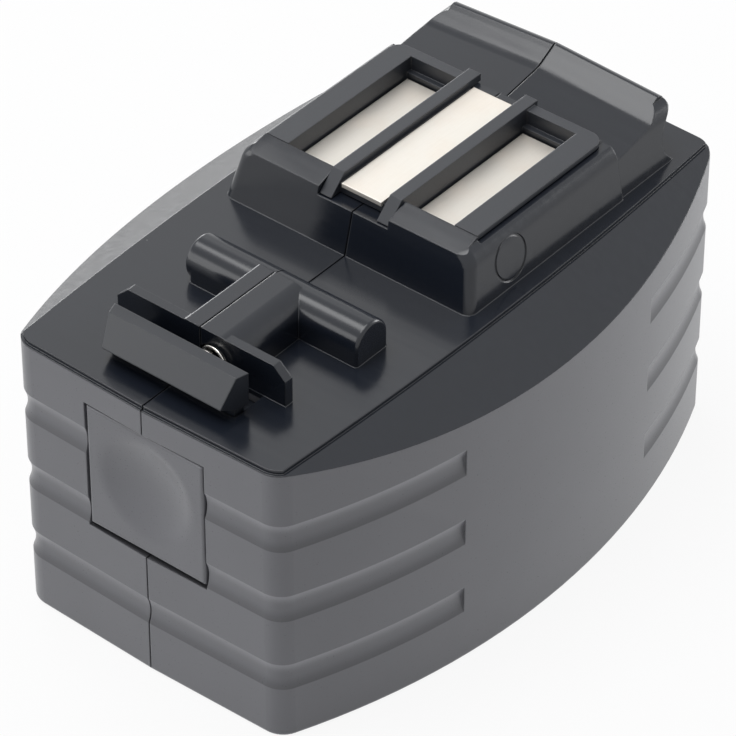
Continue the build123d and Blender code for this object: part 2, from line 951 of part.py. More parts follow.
def contact_plate(side):
    """A power contact: a flat plate in its window, with a tab down to its lead."""
    centre = side * plate_tab_x
    half_width = (window_outer - window_inner) / 2 - contact_gap
    with BuildPart() as plate:
        block(
            centre - half_width,
            centre + half_width,
            y_at(tray_from_front + tray_wall + contact_gap),
            y_at(window_end_from_front - window_step - contact_gap),
            z_at(window_floor_rise),
            z_at(window_floor_rise + contact_thickness),
        )
        block(
            centre - contact_tab_width / 2,
            centre + contact_tab_width / 2,
            y_at(contact_tab_from_front) - contact_thickness / 2,
            y_at(contact_tab_from_front) + contact_thickness / 2,
            z_at(contact_tab_rise),
            z_at(window_floor_rise),
        )
    return plate.part


contact_plate_left = contact_plate(-1)
contact_plate_left.label = "contact_plate_left"
export_step(contact_plate_left, "parts/contact_plate_left.step")

contact_plate_right = contact_plate(1)
contact_plate_right.label = "contact_plate_right"
export_step(contact_plate_right, "parts/contact_plate_right.step")

with BuildPart() as contact_strip_middle:
    block(
        -strip_half_width,
        strip_half_width,
        y_at(channel_start_from_front) - strip_thickness,
        y_at(strip_end_from_front),
        z_at(channel_rise),
        z_at(channel_rise + strip_thickness),
    )
    block(
        -strip_half_width,
        strip_half_width,
        y_at(channel_start_from_front) - strip_thickness,
        y_at(channel_start_from_front),
        z_at(channel_rise - strip_fold),
        z_at(channel_rise),
    )
    block(
        -strip_tab_width / 2,
        strip_tab_width / 2,
        y_at(strip_tab_from_front) - strip_thickness / 2,
        y_at(strip_tab_from_front) + strip_thickness / 2,
        z_at(contact_tab_rise),
        z_at(channel_rise),
    )
contact_strip_middle.part.label = "contact_strip_middle"
export_step(contact_strip_middle.part, "parts/contact_strip_middle.step")

# Release button

dish_sphere = (dish_radius**2 + dish_depth**2) / (2 * dish_depth)

with BuildPart() as release_button:
    block(
        -button_width / 2,
        button_width / 2,
        y_at(button_from_front),
        y_at(web_from_front),
        button_base,
        button_base + button_height,
    )
    fillet(release_button.faces().sort_by(Axis.Y)[0].edges(), button_edge)
    block(
        button_skirt - button_width / 2,
        button_width / 2 - button_skirt,
        y_at(button_from_front + button_plate),
        y_at(web_from_front),
        button_base + button_skirt,
        button_base + button_height - button_skirt,
        mode=Mode.SUBTRACT,
    )
    with Locations((0, y_at(button_from_front + dish_depth) - dish_sphere, button_base + dish_rise)):
        Sphere(dish_sphere, mode=Mode.SUBTRACT)
    fillet(release_button.edges().filter_by(GeomType.CIRCLE).sort_by(SortBy.RADIUS)[-1], dish_round)
release_button.part.label = "release_button"
export_step(release_button.part, "parts/release_button.step")

# Latch slide with its catch bar

with BuildPart() as catch_bar:
    with BuildSketch(Plane.YZ):
        with BuildLine():
            Polyline(
                (y_at(neck_from_front), slide_top),
                (y_at(neck_from_front), z_at(bar_neck_rise)),
                (y_at(bar_nose_from_front), z_at(bar_nose_rise)),
                (y_at(bar_top_from_front), z_at(bar_front_rise)),
                (y_at(bar_end_from_front), z_at(bar_rise)),
                (y_at(bar_end_from_front), slide_top),
                close=True,
            )
        make_face()
    extrude(amount=bar_half_width, both=True)
    with BuildSketch(Plane.XY.offset(slide_top)):
        with BuildLine():
            Polyline(
                (-bar_half_width, y_at(bar_end_from_front)),
                (bar_half_width, y_at(bar_end_from_front)),
                (bar_nose_half_width, y_at(bar_nose_from_front)),
                (-bar_nose_half_width, y_at(bar_nose_from_front)),
                close=True,
            )
        make_face()
    extrude(amount=z_at(bar_rise + overrun) - slide_top, mode=Mode.INTERSECT)
    for side in (-1, 1):
        trim = side * (neck_half_width + overrun)
        block(
            trim - overrun,
            trim + overrun,
            y_at(neck_from_front - slot_gap),
            y_at(bar_end_from_front + slot_gap),
            slide_top,
            z_at(bar_neck_rise),
            mode=Mode.SUBTRACT,
        )

with BuildPart() as latch_slide:
    block(
        -slide_half_width,
        slide_half_width,
        y_at(web_from_front),
        y_at(slide_end_from_front),
        slide_bottom,
        slide_top,
    )
    block(
        -web_half_width,
        web_half_width,
        y_at(web_from_front),
        y_at(web_from_front + web_thickness),
        button_base - web_foot,
        slide_bottom,
    )
    block(
        -web_half_width - web_wing,
        web_half_width + web_wing,
        y_at(web_from_front),
        y_at(web_from_front + web_thickness),
        button_base - web_foot,
        z_at(-web_wing_drop),
    )
    add(catch_bar.part)
latch_slide.part.label = "latch_slide"
export_step(latch_slide.part, "parts/latch_slide.step")

# Latch spring: a helix of half turns, each two arcs, that ends straight along Y

spring_radius = (spring_outer - spring_wire) / 2
spring_start_y = y_at(bar_end_from_front)
spring_stop_y = y_at(spring_end_from_front)
spring_half_turns = 2 * spring_turns
rise_angle = pi / 2
end_lengths = spring_wire + spring_bend
coil_length = spring_stop_y - spring_start_y - 2 * end_lengths
coil_rate = coil_length / (spring_turns * 2 * pi)


def coil_point(turn):
    """A point of the spring's centre line: turn is its angle from the first end."""
    x = rail_offset + spring_radius * cos(turn)
    z = z_at(spring_rise) + spring_radius * sin(turn)
    return Vector(x, spring_start_y + end_lengths + coil_rate * turn, z)


def coil_heading(turn):
    """The direction of the spring's centre line at that point."""
    return Vector(-spring_radius * sin(turn), coil_rate, spring_radius * cos(turn)).normalized()


def joint_reach(span, first, last):
    """The tangent length that two arcs share when they join two points with given headings."""
    both = first + last
    square = both.dot(both) - 4
    half = span.dot(both)
    return (half - sqrt(half**2 - square * span.dot(span))) / square


axis_heading = Vector(0, 1, 0)
first_heading = coil_heading(0)
last_heading = coil_heading(spring_half_turns * pi)
bend_turn = first_heading.get_angle(axis_heading)
bend_reach = spring_bend * tan(radians(bend_turn / 2))

spring_path = []
coil_first = coil_point(0)
coil_last = coil_point(spring_half_turns * pi)
lead_in = coil_first - (first_heading + axis_heading) * bend_reach
lead_out = coil_last + (last_heading + axis_heading) * bend_reach
wire_start = Vector(lead_in.X, spring_start_y, lead_in.Z)
wire_stop = Vector(lead_out.X, spring_stop_y, lead_out.Z)

with BuildPart() as latch_spring:
    with BuildLine() as coil:
        Line(wire_start, lead_in)
        TangentArc(lead_in, coil_first, tangent=axis_heading)
        for half_turn in range(spring_half_turns):
            start = coil_point(half_turn * pi)
            stop = coil_point((half_turn + 1) * pi)
            start_heading = coil_heading(half_turn * pi)
            stop_heading = coil_heading((half_turn + 1) * pi)
            reach = joint_reach(stop - start, start_heading, stop_heading)
            joint = (start + stop + (start_heading - stop_heading) * reach) / 2
            joint_heading = (stop - start - (start_heading + stop_heading) * reach).normalized()
            TangentArc(start, joint, tangent=start_heading)
            TangentArc(joint, stop, tangent=joint_heading)
        TangentArc(coil_last, lead_out, tangent=last_heading)
        Line(lead_out, wire_stop)
    with BuildSketch(Plane(origin=wire_start, z_dir=axis_heading)):
        Circle(spring_wire / 2)
    sweep(path=coil.line)
latch_spring.part.label = "latch_spring"
export_step(latch_spring.part, "parts/latch_spring.step")

# The spring's least gap to itself, between points at least half a turn apart
coil_wire = coil.line
wire_length = sum(edge.length for edge in coil_wire.edges())
point_count = points_per_half_turn * spring_half_turns
places = [coil_wire @ (index / point_count) for index in range(point_count + 1)]
least = min(
    (places[one] - places[two]).length
    for one in range(point_count + 1)
    for two in range(one + points_per_half_turn, point_count + 1)
)
print(f"spring: least gap to itself {least - spring_wire:.2f} mm")
print(f"spring: volume {latch_spring.part.volume:.3f}")
print(f"spring: section times length {pi * spring_wire**2 / 4 * wire_length:.3f}")

# Cells


def cell_centre(place):
    """X and Y of a cell from its column and its row of half cells."""
    column, row = place
    return column * column_step, y_at(cells_from_front) + row * row_step


def cell(number):
    """A sleeved cell with a crimp groove, its nub at the top on the odd ones."""
    x, y = cell_centre(cell_places[number - 1])
    upright = number % 2 == 1
    radius = cell_diameter / 2
    body = cell_height - cell_nub
    groove_top = body - cell_groove_drop
    with BuildPart() as sleeve:
        with BuildSketch(Plane.XZ):
            with BuildLine():
                Polyline(
                    (0, 0),
                    (radius, 0),
                    (radius, groove_top - cell_groove_width),
                    (radius - cell_groove_depth, groove_top - cell_groove_width / 2),
                    (radius, groove_top),
                    (radius, body),
                    (cell_nub_diameter / 2, body),
                    (cell_nub_diameter / 2, cell_height),
                    (0, cell_height),
                    close=True,
                )
            make_face()
        revolve(axis=Axis.Z)
    if upright:
        return Pos(x, y, cell_base) * sleeve.part
    return Pos(x, y, cell_top) * Rot(180, 0, 0) * sleeve.part


for number in range(1, len(cell_places) + 1):
    cell_part = cell(number)
    cell_part.label = f"cell_{number:02d}"
    export_step(cell_part, f"parts/cell_{number:02d}.step")

# Pads and links


def pad_plan():
    """The plan of the cell block."""
    reach = cell_diameter / 2 - pad_margin
    with BuildSketch() as plan:
        with Locations((0, y_at(cells_from_front))):
            Rectangle(2 * (column_step + reach), 2 * (2 * row_step + reach))
            Rectangle(2 * reach, 2 * (3 * row_step + reach))
    return plan.sketch


with BuildPart() as cell_pad_bottom:
    with BuildSketch(Plane.XY.offset(wall)):
        add(pad_plan())
    extrude(amount=pad_thickness)
cell_pad_bottom.part.label = "cell_pad_bottom"
export_step(cell_pad_bottom.part, "parts/cell_pad_bottom.step")

positive_cell, negative_cell = cell_centre(cell_places[0]), cell_centre(cell_places[-1])
positive_place = (positive_cell[0] - positive_inset, positive_cell[1] - positive_inset)
negative_place = (negative_cell[0] - negative_inset, negative_cell[1] + negative_inset)
sensor_column, sensor_row = -2 / 3, -1
sensor_x = sensor_column * column_step
sensor_y = y_at(cells_from_front) + sensor_row * row_step

with BuildPart() as cell_pad_top:
    with BuildSketch(Plane.XY.offset(stack_top - pad_thickness)):
        add(pad_plan())
        with Locations(positive_place, negative_place):
            Circle(lead_diameter / 2 + lead_hole_gap, mode=Mode.SUBTRACT)
        with Locations((sensor_x, sensor_y)):
            Circle(sensor_lead_diameter / 2 + lead_hole_gap, mode=Mode.SUBTRACT)
    extrude(amount=pad_thickness)
cell_pad_top.part.label = "cell_pad_top"
export_step(cell_pad_top.part, "parts/cell_pad_top.step")


def links(first_number, height):
    """The welded links between neighbours, from first_number on, at one height."""
    with BuildPart() as strips:
        for number in range(first_number, len(cell_places), 2):
            start = Vector(*cell_centre(cell_places[number - 1]))
            stop = Vector(*cell_centre(cell_places[number]))
            along = stop - start
            middle = (start + stop) / 2
            with BuildSketch(Plane((middle.X, middle.Y, height), x_dir=along, z_dir=(0, 0, 1))):
                SlotCenterToCenter(along.length, link_width)
            extrude(amount=link_thickness)
    return strips.part


with BuildPart() as cell_links_bottom:
    add(links(1, wall + pad_thickness))
cell_links_bottom.part.label = "cell_links_bottom"
export_step(cell_links_bottom.part, "parts/cell_links_bottom.step")

with BuildPart() as cell_links_top:
    add(links(2, cell_top))
    with BuildSketch(Plane.XY.offset(cell_top)):
        with Locations(cell_centre(cell_places[0]), cell_centre(cell_places[-1])):
            Circle(terminal_diameter / 2)
    extrude(amount=link_thickness)
cell_links_top.part.label = "cell_links_top"
export_step(cell_links_top.part, "parts/cell_links_top.step")

# Leads and sensor

link_face = cell_top + link_thickness


def lead(points, bends, diameter):
    """A round lead along straight runs joined by arcs."""
    with BuildPart() as wire:
        with BuildLine() as route:
            FilletPolyline(*points, radius=bends)
        with BuildSketch(Plane(origin=route.line @ 0, z_dir=route.line % 0)):
            Circle(diameter / 2)
        sweep(path=route.line)
    return wire.part


def power_lead(side, place):
    """The lead from a power contact's tab down to the top links."""
    tab_x = side * plate_tab_x
    tab_y = y_at(contact_tab_from_front)
    turn = stack_top + lead_rise
    points = [
        (tab_x, tab_y, z_at(contact_tab_rise)),
        (tab_x, tab_y, turn),
        (*place, turn),
        (*place, link_face),
    ]
    return lead(points, lead_bend, lead_diameter)


lead_positive = power_lead(-1, positive_place)
lead_positive.label = "lead_positive"
export_step(lead_positive, "parts/lead_positive.step")

lead_negative = power_lead(1, negative_place)
lead_negative.label = "lead_negative"
export_step(lead_negative, "parts/lead_negative.step")

sensor_turn = stack_top + sensor_lead_rise
sensor_top = cell_top - sensor_sink
sensor_points = [
    (0, y_at(strip_tab_from_front), z_at(contact_tab_rise)),
    (0, y_at(strip_tab_from_front), sensor_turn),
    (0, y_at(sensor_turn_from_front), sensor_turn),
    (sensor_x, sensor_y, sensor_turn),
    (sensor_x, sensor_y, sensor_top),
]
sensor_lead = lead(sensor_points, lead_bend, sensor_lead_diameter)
sensor_lead.label = "sensor_lead"
export_step(sensor_lead, "parts/sensor_lead.step")

with BuildPart() as thermal_sensor:
    rod(
        (sensor_x, sensor_y, sensor_top - sensor_length),
        (sensor_x, sensor_y, sensor_top),
        sensor_diameter / 2,
    )
    fillet(thermal_sensor.edges().sort_by(Axis.Z)[0], sensor_diameter / 4)
thermal_sensor.part.label = "thermal_sensor"
export_step(thermal_sensor.part, "parts/thermal_sensor.step")
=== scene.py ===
"""Slide-on battery pack for a cordless tool: its finishes, small parts and stage."""

import bmesh
import bpy
from bpy.props import FloatProperty, FloatVectorProperty, IntProperty, PointerProperty
from mathutils import Matrix, Vector


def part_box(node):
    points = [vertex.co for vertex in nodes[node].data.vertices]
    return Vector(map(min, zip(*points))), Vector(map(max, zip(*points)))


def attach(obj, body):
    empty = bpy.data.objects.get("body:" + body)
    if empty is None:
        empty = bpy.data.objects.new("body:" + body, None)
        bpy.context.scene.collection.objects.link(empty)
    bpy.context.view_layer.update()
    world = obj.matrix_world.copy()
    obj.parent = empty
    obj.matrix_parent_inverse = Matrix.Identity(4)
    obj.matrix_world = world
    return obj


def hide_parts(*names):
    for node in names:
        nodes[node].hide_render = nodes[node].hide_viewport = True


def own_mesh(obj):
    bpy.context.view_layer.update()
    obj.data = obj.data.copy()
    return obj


bl_info = {
    "name": "Slide-on Battery Pack",
    "version": (1, 0, 0),
    "blender": (4, 5, 0),
    "location": "View3D > Sidebar > Battery Pack",
    "description": "Finishes and stage of a slide-on battery pack for a cordless tool",
    "category": "Add Mesh",
}

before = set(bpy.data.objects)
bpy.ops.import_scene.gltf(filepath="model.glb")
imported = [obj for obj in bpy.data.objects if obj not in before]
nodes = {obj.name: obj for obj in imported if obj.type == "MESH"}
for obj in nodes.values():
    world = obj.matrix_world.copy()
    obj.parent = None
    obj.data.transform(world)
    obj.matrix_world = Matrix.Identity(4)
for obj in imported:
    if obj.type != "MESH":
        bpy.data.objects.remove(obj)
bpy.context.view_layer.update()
BUTTON_BELOW_DECK = 0.00675
LIP_DEPTH = 0.0012
LIP_BLEND = 0.0003
FACET_HEIGHTS = (0.04, 0.045)
# Slopes over which painted shade fades in on up-facing wall flanks and painted light on down-facing ones
PAINTED_FLANK_SLOPES = (0.06, 0.5)
EVEN = (1, 1, 1)
MERGE_DISTANCE = 0.000001
AIM = (0, -0.0024, 0.03)
CAMERA_PLACE = (0.4164, -0.5098, 0.5654)
FRAME_SHIFT = (0.006, 0.0144)
SENSOR_WIDTH = 36.0
FLOOR_REACH = 3.0
# Each lamp's name, size and place
LAMPS = (
    ("key", 0.9, (-0.25, -0.18, 1.25)),
    ("front", 1.1, (-1.15, -1.05, 0.32)),
    ("side", 0.6, (-1.2, 0.8, 0.3)),
    ("back", 0.7, (0.6, 1.3, 0.35)),
    ("window", 0.9, (-1.2, 0.85, 0.9)),
)
deck_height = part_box("release_button")[1][2] + BUTTON_BELOW_DECK


def colour_property(name, description, default):
    """A colour that the sidebar shows as a swatch."""
    return FloatVectorProperty(
        name=name, description=description, subtype="COLOR", size=3, min=0, max=1, default=default
    )


def length_property(name, description, default):
    """A length in metres."""
    return FloatProperty(name=name, description=description, unit="LENGTH", precision=5, default=default)


def share_property(name, description, default):
    """A number from none to all."""
    return FloatProperty(name=name, description=description, min=0, max=1, default=default)


def power_property(name, description, default):
    """The power of a lamp."""
    return FloatProperty(name=name, description=description, unit="POWER", default=default)


class CaseFinish(bpy.types.PropertyGroup):
    """Finish of the moulded case."""

    wall_colour: colour_property("Walls", "Colour of the grained side walls", (0.128, 0.13, 0.143))
    deck_colour: colour_property("Deck", "Colour of the deck, facets and tower", (0.009, 0.0115, 0.0175))
    edge_colour: colour_property("Edges", "Colour of the rubbed edges", (0.07, 0.072, 0.078))
    wall_roughness: share_property("Wall roughness", "Roughness of the grained walls", 0.3)
    deck_roughness: share_property("Deck roughness", "Roughness of the smooth faces", 0.2)
    grain_size: length_property("Grain", "Size of the eroded grain on the walls", 0.00032)
    grain_depth: length_property("Grain depth", "Depth of the grain on the walls", 0.000006)
    edge_radius: length_property("Edge radius", "Radius of the moulded edges", 0.0003)


class LatchFinish(bpy.types.PropertyGroup):
    """Finish of the button, the catch bar and their spring."""

    bar_colour: colour_property("Bar", "Colour of the catch bar and its slide", (0.009, 0.0115, 0.017))
    bar_roughness: share_property("Bar roughness", "Roughness of the catch bar", 0.33)
    spring_colour: colour_property("Spring", "Colour of the spring wire", (0.82, 0.8, 0.76))


class ContactFinish(bpy.types.PropertyGroup):
    """Finish of the contacts and their carrier."""

    carrier_colour: colour_property("Carrier", "Colour of the contact carrier", (0.017, 0.0195, 0.0255))
    carrier_roughness: share_property("Carrier roughness", "Roughness of the carrier", 0.42)
    metal_colour: colour_property("Plating", "Colour of the plated contacts", (0.74, 0.71, 0.655))
    tarnish_colour: colour_property("Tarnish", "Colour of the duller patches", (0.705, 0.645, 0.575))
    metal_roughness: share_property("Plating roughness", "Roughness of the plating", 0.4)


class InsideFinish(bpy.types.PropertyGroup):
    """Finish of what the case holds."""

    sleeve_colour: colour_property("Sleeve", "Colour of the shrink sleeves", (0.03, 0.16, 0.09))
    can_colour: colour_property("Can", "Colour of the bare cell ends", (0.7, 0.7, 0.68))
    card_colour: colour_property("Card", "Colour of the insulating card", (0.5, 0.42, 0.29))
    link_colour: colour_property("Links", "Colour of the welded links", (0.74, 0.72, 0.67))


class Studio(bpy.types.PropertyGroup):
    """Floor, light and camera."""

    floor_colour: colour_property("Floor", "Colour of the floor", (0.78, 0.78, 0.79))
    sky: share_property("Sky", "Light from all round", 0.32)
    key_power: power_property("Key", "Lamp overhead", 11.5)
    front_power: power_property("Front", "Low lamp before the button", 9.0)
    side_power: power_property("Side", "Low lamp on the left", 6.0)
    back_power: power_property("Back", "Low lamp behind on the right", 10.5)
    window_power: power_property("Window", "Weak lamp behind on the left", 1.0)
    lens: FloatProperty(name="Lens", description="Focal length", unit="CAMERA", default=223.24)
    floor_cuts: IntProperty(name="Cuts", description="Squares along the floor", default=4)


class Value:
    """A number in a material. Sums written with it add Math nodes."""

    def __init__(self, finish, socket):
        self.finish = finish
        self.socket = socket

    def maths(self, operation, first, second):
        return self.finish.node("Math", {"operation": operation}, {0: first, 1: second})

    def __add__(self, other):
        return self.maths("ADD", self, other)

    def __radd__(self, other):
        return self.maths("ADD", other, self)

    def __sub__(self, other):
        return self.maths("SUBTRACT", self, other)

    def __rsub__(self, other):
        return self.maths("SUBTRACT", other, self)

    def __mul__(self, other):
        return self.maths("MULTIPLY", self, other)

    def __rmul__(self, other):
        return self.maths("MULTIPLY", other, self)


class Finish:
    """A material of nodes on the object's own coordinates."""

    def __init__(self, name):
        self.material = bpy.data.materials.new(name)
        self.material.use_nodes = True
        self.tree = self.material.node_tree
        self.tree.nodes.clear()
        self.place = self.node("TexCoord", output="Object")

    def node(self, kind, settings=None, inputs=None, output=0):
        """Add a node with its settings first, then the values or links of its sockets."""
        node = self.tree.nodes.new("ShaderNode" + kind)
        for name, setting in (settings or {}).items():
            setattr(node, name, setting)
        for name, value in (inputs or {}).items():
            if isinstance(value, Value):
                self.tree.links.new(value.socket, node.inputs[name])
            else:
                node.inputs[name].default_value = value
        return Value(self, node.outputs[output]) if node.outputs else None

    def axis(self, letter):
        """One coordinate of the point, in metres."""
        return self.node("SeparateXYZ", None, {0: self.place}, letter)

    def facing(self, letter, normal="True Normal"):
        """One coordinate of the direction that the surface faces."""
        direction = self.node("NewGeometry", output=normal)
        return self.node("SeparateXYZ", None, {0: direction}, letter)

    def between(self, value, low, high):
        """None below low, all above high, and smooth between them."""
        return self.node(
            "MapRange",
            {"interpolation_type": "SMOOTHSTEP"},
            {"Value": value, "From Min": low, "From Max": high},
        )

    def noise(self, size, detail=2.0, stretch=(1, 1, 1)):
        """Soft random spots of a size in metres, stretched along the axes."""
        spread = tuple(1 / (size * factor) for factor in stretch)
        place = self.node("Mapping", None, {"Vector": self.place, "Scale": spread})
        return self.node("TexNoise", None, {"Vector": place, "Scale": 1.0, "Detail": detail})

    def specks(self, spacing, radius):
        """Sparse round dots on a grid of random points."""
        place = self.node("Mapping", None, {"Vector": self.place, "Scale": (1 / spacing,) * 3})
        distance = self.node("TexVoronoi", None, {"Vector": place, "Scale": 1.0}, "Distance")
        return 1 - self.between(distance, 0.5 * radius / spacing, radius / spacing)

    def mix(self, factor, first, second):
        """A colour between two colours."""
        return self.node(
            "Mix", {"data_type": "RGBA"}, {0: factor, 6: opaque(first), 7: opaque(second)}, 2
        )

    def edges(self, radius):
        """The normal with rounded edges, and how near an edge the point lies."""
        rounded = self.node("Bevel", {"samples": 6}, {"Radius": radius})
        plain = self.node("NewGeometry", output="Normal")
        agreement = self.node("VectorMath", {"operation": "DOT_PRODUCT"}, {0: rounded, 1: plain}, "Value")
        return rounded, self.between(1 - agreement, 0.01, 0.16)

    def bump(self, height, depth, normal):
        """The normal with a relief of a depth in metres."""
        return self.node("Bump", None, {"Distance": depth, "Height": height, "Normal": normal}, "Normal")

    def done(self, **inputs):
        """Close the material with its shader."""
        named = {name.replace("_", " "): value for name, value in inputs.items()}
        shader = self.node("BsdfPrincipled", None, named)
        self.node("OutputMaterial", None, {"Surface": shader})
        return self.material


def opaque(colour):
    """A colour with full alpha, or a link as it is."""
    return colour if isinstance(colour, Value) else (*colour, 1.0)


def tinted(colour, share):
    """A colour made lighter or darker."""
    return [share * part for part in colour]


def case_plastic():
    """Grained walls with painted shade on their up-facing flanks and painted light on their down-facing
    flanks, and a smoother, darker deck, facets, rail, tower and hook.
    """
    look = bpy.context.scene.pack_case
    finish = Finish("case_plastic")
    height = finish.axis("Z")
    above = finish.between(height, deck_height - LIP_DEPTH, deck_height - LIP_DEPTH + LIP_BLEND)
    sloping = finish.between(finish.facing("Z"), 0.6, 0.75) * finish.between(height, *FACET_HEIGHTS)
    smooth = finish.node("Math", {"operation": "MAXIMUM"}, {0: above, 1: sloping})
    rounded, edge = finish.edges(look.edge_radius)
    cloud = finish.noise(0.03, 3.0)
    grain = finish.noise(look.grain_size, 2.0)
    flow = finish.noise(0.0012, 3.0, (16, 1, 1))
    dust = finish.specks(0.011, 0.00016) * smooth
    wall = finish.mix(cloud, tinted(look.wall_colour, 0.9), tinted(look.wall_colour, 1.12))
    upward = finish.facing("Z", "Normal")
    # Painted shade and painted light: up-facing wall flanks are painted at half the wall colour, down-facing
    # flanks at 1.6 times it
    flank_painted_shade = finish.mix(finish.between(upward, *PAINTED_FLANK_SLOPES), wall, tinted(look.wall_colour, 0.5))
    flank_painted_shade_and_light = finish.mix(finish.between(0 - upward, *PAINTED_FLANK_SLOPES), flank_painted_shade, tinted(look.wall_colour, 1.6))
    deck = finish.mix(cloud, tinted(look.deck_colour, 0.85), tinted(look.deck_colour, 1.2))
    body = finish.mix(smooth, flank_painted_shade_and_light, deck)
    worn = finish.mix(edge * 0.35, body, look.edge_colour)
    dusty = finish.mix(dust * 0.5, worn, (0.4, 0.4, 0.4))
    wall_roughness = look.wall_roughness + (grain - 0.5) * 0.12
    deck_roughness = look.deck_roughness + (flow - 0.5) * 0.16
    roughness = wall_roughness + smooth * (deck_roughness - wall_roughness)
    relief = grain * (1 - smooth) + flow * smooth * 0.12
    return finish.done(
        Base_Color=dusty,
        Roughness=roughness,
        Normal=finish.bump(relief, look.grain_depth, rounded),
    )


def moulded_plastic(name, colour, roughness, grain_depth, edge_radius=0.0003):
    """Plain moulded plastic with a fine grain and lightly rubbed edges."""
    finish = Finish(name)
    rounded, edge = finish.edges(edge_radius)
    cloud = finish.noise(0.02, 3.0)
    grain = finish.noise(0.0003, 2.0)
    body = finish.mix(cloud, tinted(colour, 0.87), tinted(colour, 1.15))
    worn = finish.mix(edge * 0.3, body, [part + 0.06 for part in colour])
    return finish.done(
        Base_Color=worn,
        Roughness=roughness + (grain - 0.5) * 0.14,
        Normal=finish.bump(grain, grain_depth, rounded),
    )


def plated_metal(name, colour, dull, roughness, stretch=(1, 14, 1), metallic=1.0):
    """Rolled and plated metal: lines along the strip, and duller patches."""
    finish = Finish(name)
    rounded, edge = finish.edges(0.00025)
    lines = finish.noise(0.00035, 3.0, stretch)
    patches = finish.between(finish.noise(0.009, 4.0), 0.42, 0.72)
    body = finish.mix(patches * 0.7, colour, dull)
    lined = finish.mix(lines * 0.18, body, tinted(dull, 0.78))
    return finish.done(
        Base_Color=lined,
        Metallic=metallic,
        Roughness=roughness + (lines - 0.5) * 0.16 + patches * 0.08 - edge * 0.08,
        Normal=finish.bump(lines, 0.000004, rounded),
    )


def cell_sleeve():
    """Shrink sleeve round the can, with the bare steel of its ends."""
    look = bpy.context.scene.pack_inside
    finish = Finish("cell_sleeve")
    upward = finish.facing("Z")
    end = finish.between(upward * upward, 0.5, 0.7)
    wrinkles = finish.noise(0.0011, 3.0, (1, 1, 9))
    rounded, edge = finish.edges(0.0004)
    sleeve = finish.mix(wrinkles, look.sleeve_colour, tinted(look.sleeve_colour, 1.5))
    return finish.done(
        Base_Color=finish.mix(end, sleeve, look.can_colour),
        Metallic=end,
        Roughness=0.28 + (wrinkles - 0.5) * 0.12 + edge * 0.1,
        Normal=finish.bump(wrinkles, 0.00005, rounded),
    )


def card():
    """Insulating card with its fibres."""
    look = bpy.context.scene.pack_inside
    finish = Finish("pad_card")
    fibres = finish.noise(0.0004, 4.0, (6, 1, 1))
    cloud = finish.noise(0.012, 3.0)
    body = finish.mix(cloud, look.card_colour, tinted(look.card_colour, 0.8))
    return finish.done(
        Base_Color=finish.mix(fibres * 0.3, body, (0.3, 0.24, 0.15)),
        Roughness=0.8 + (fibres - 0.5) * 0.1,
        Normal=finish.bump(fibres, 0.00003, finish.node("NewGeometry", output="Normal")),
    )


def insulation(name, colour):
    """Soft lead insulation, faintly ribbed along the wire."""
    finish = Finish(name)
    skin = finish.noise(0.0009, 3.0)
    body = finish.mix(skin, tinted(colour, 0.85), tinted(colour, 1.15))
    return finish.done(
        Base_Color=body,
        Roughness=0.42 + (skin - 0.5) * 0.12,
        Normal=finish.bump(skin, 0.00002, finish.node("NewGeometry", output="Normal")),
    )


def dress(material, *names):
    """Give CAD nodes a material in place of their plain one."""
    for name in names:
        piece = nodes[name]
        piece.data.materials.clear()
        piece.data.materials.append(material)


class PACK_OT_case(bpy.types.Operator):
    """Grain, gloss and worn edges of the two case halves"""

    bl_idname = "battery_pack.case"
    bl_label = "Case Halves"

    def execute(self, context):
        dress(case_plastic(), "left_shell", "right_shell")
        return {"FINISHED"}


class PACK_OT_latch(bpy.types.Operator):
    """Dished button and catch bar"""

    bl_idname = "battery_pack.latch"
    bl_label = "Latch"

    def execute(self, context):
        case = context.scene.pack_case
        look = context.scene.pack_latch
        button = moulded_plastic(
            "button_plastic", case.wall_colour, case.wall_roughness, case.grain_depth, case.edge_radius
        )
        dress(button, "release_button")
        bar = moulded_plastic("latch_plastic", look.bar_colour, look.bar_roughness, 0.000005)
        dress(bar, "latch_slide")
        return {"FINISHED"}


class PACK_OT_spring(bpy.types.Operator):
    """Bright coil of the catch bar's spring, carried by the housing"""

    bl_idname = "battery_pack.spring"
    bl_label = "Latch Spring"

    def execute(self, context):
        look = context.scene.pack_latch
        shape = bmesh.new()
        shape.from_mesh(nodes["latch_spring"].data)
        bmesh.ops.remove_doubles(shape, verts=shape.verts, dist=MERGE_DISTANCE)
        bmesh.ops.recalc_face_normals(shape, faces=shape.faces)
        mesh = bpy.data.meshes.new("latch_coil")
        shape.to_mesh(mesh)
        shape.free()
        mesh.shade_smooth()
        mesh.materials.clear()
        mesh.materials.append(
            plated_metal("spring_steel", look.spring_colour, (0.6, 0.58, 0.54), 0.22, EVEN)
        )
        coil = bpy.data.objects.new("latch_coil", mesh)
        context.scene.collection.objects.link(coil)
        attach(coil, "housing")
        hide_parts("latch_spring")
        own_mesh(coil)
        return {"FINISHED"}


class PACK_OT_contacts(bpy.types.Operator):
    """Contact carrier and the three plated contacts"""

    bl_idname = "battery_pack.contacts"
    bl_label = "Contacts"

    def execute(self, context):
        look = context.scene.pack_contacts
        carrier = moulded_plastic("carrier_plastic", look.carrier_colour, look.carrier_roughness, 0.000007)
        dress(carrier, "contact_carrier")
        metal = plated_metal(
            "contact_metal", look.metal_colour, look.tarnish_colour, look.metal_roughness, metallic=0.7
        )
        dress(metal, "contact_plate_left", "contact_plate_right", "contact_strip_middle")
        return {"FINISHED"}


class PACK_OT_screws(bpy.types.Operator):
    """Dark plated case screws"""

    bl_idname = "battery_pack.screws"
    bl_label = "Screws"

    def execute(self, context):
        steel = plated_metal("screw_steel", (0.3, 0.3, 0.31), (0.16, 0.16, 0.17), 0.35, EVEN)
        dress(steel, "case_screws")
        return {"FINISHED"}


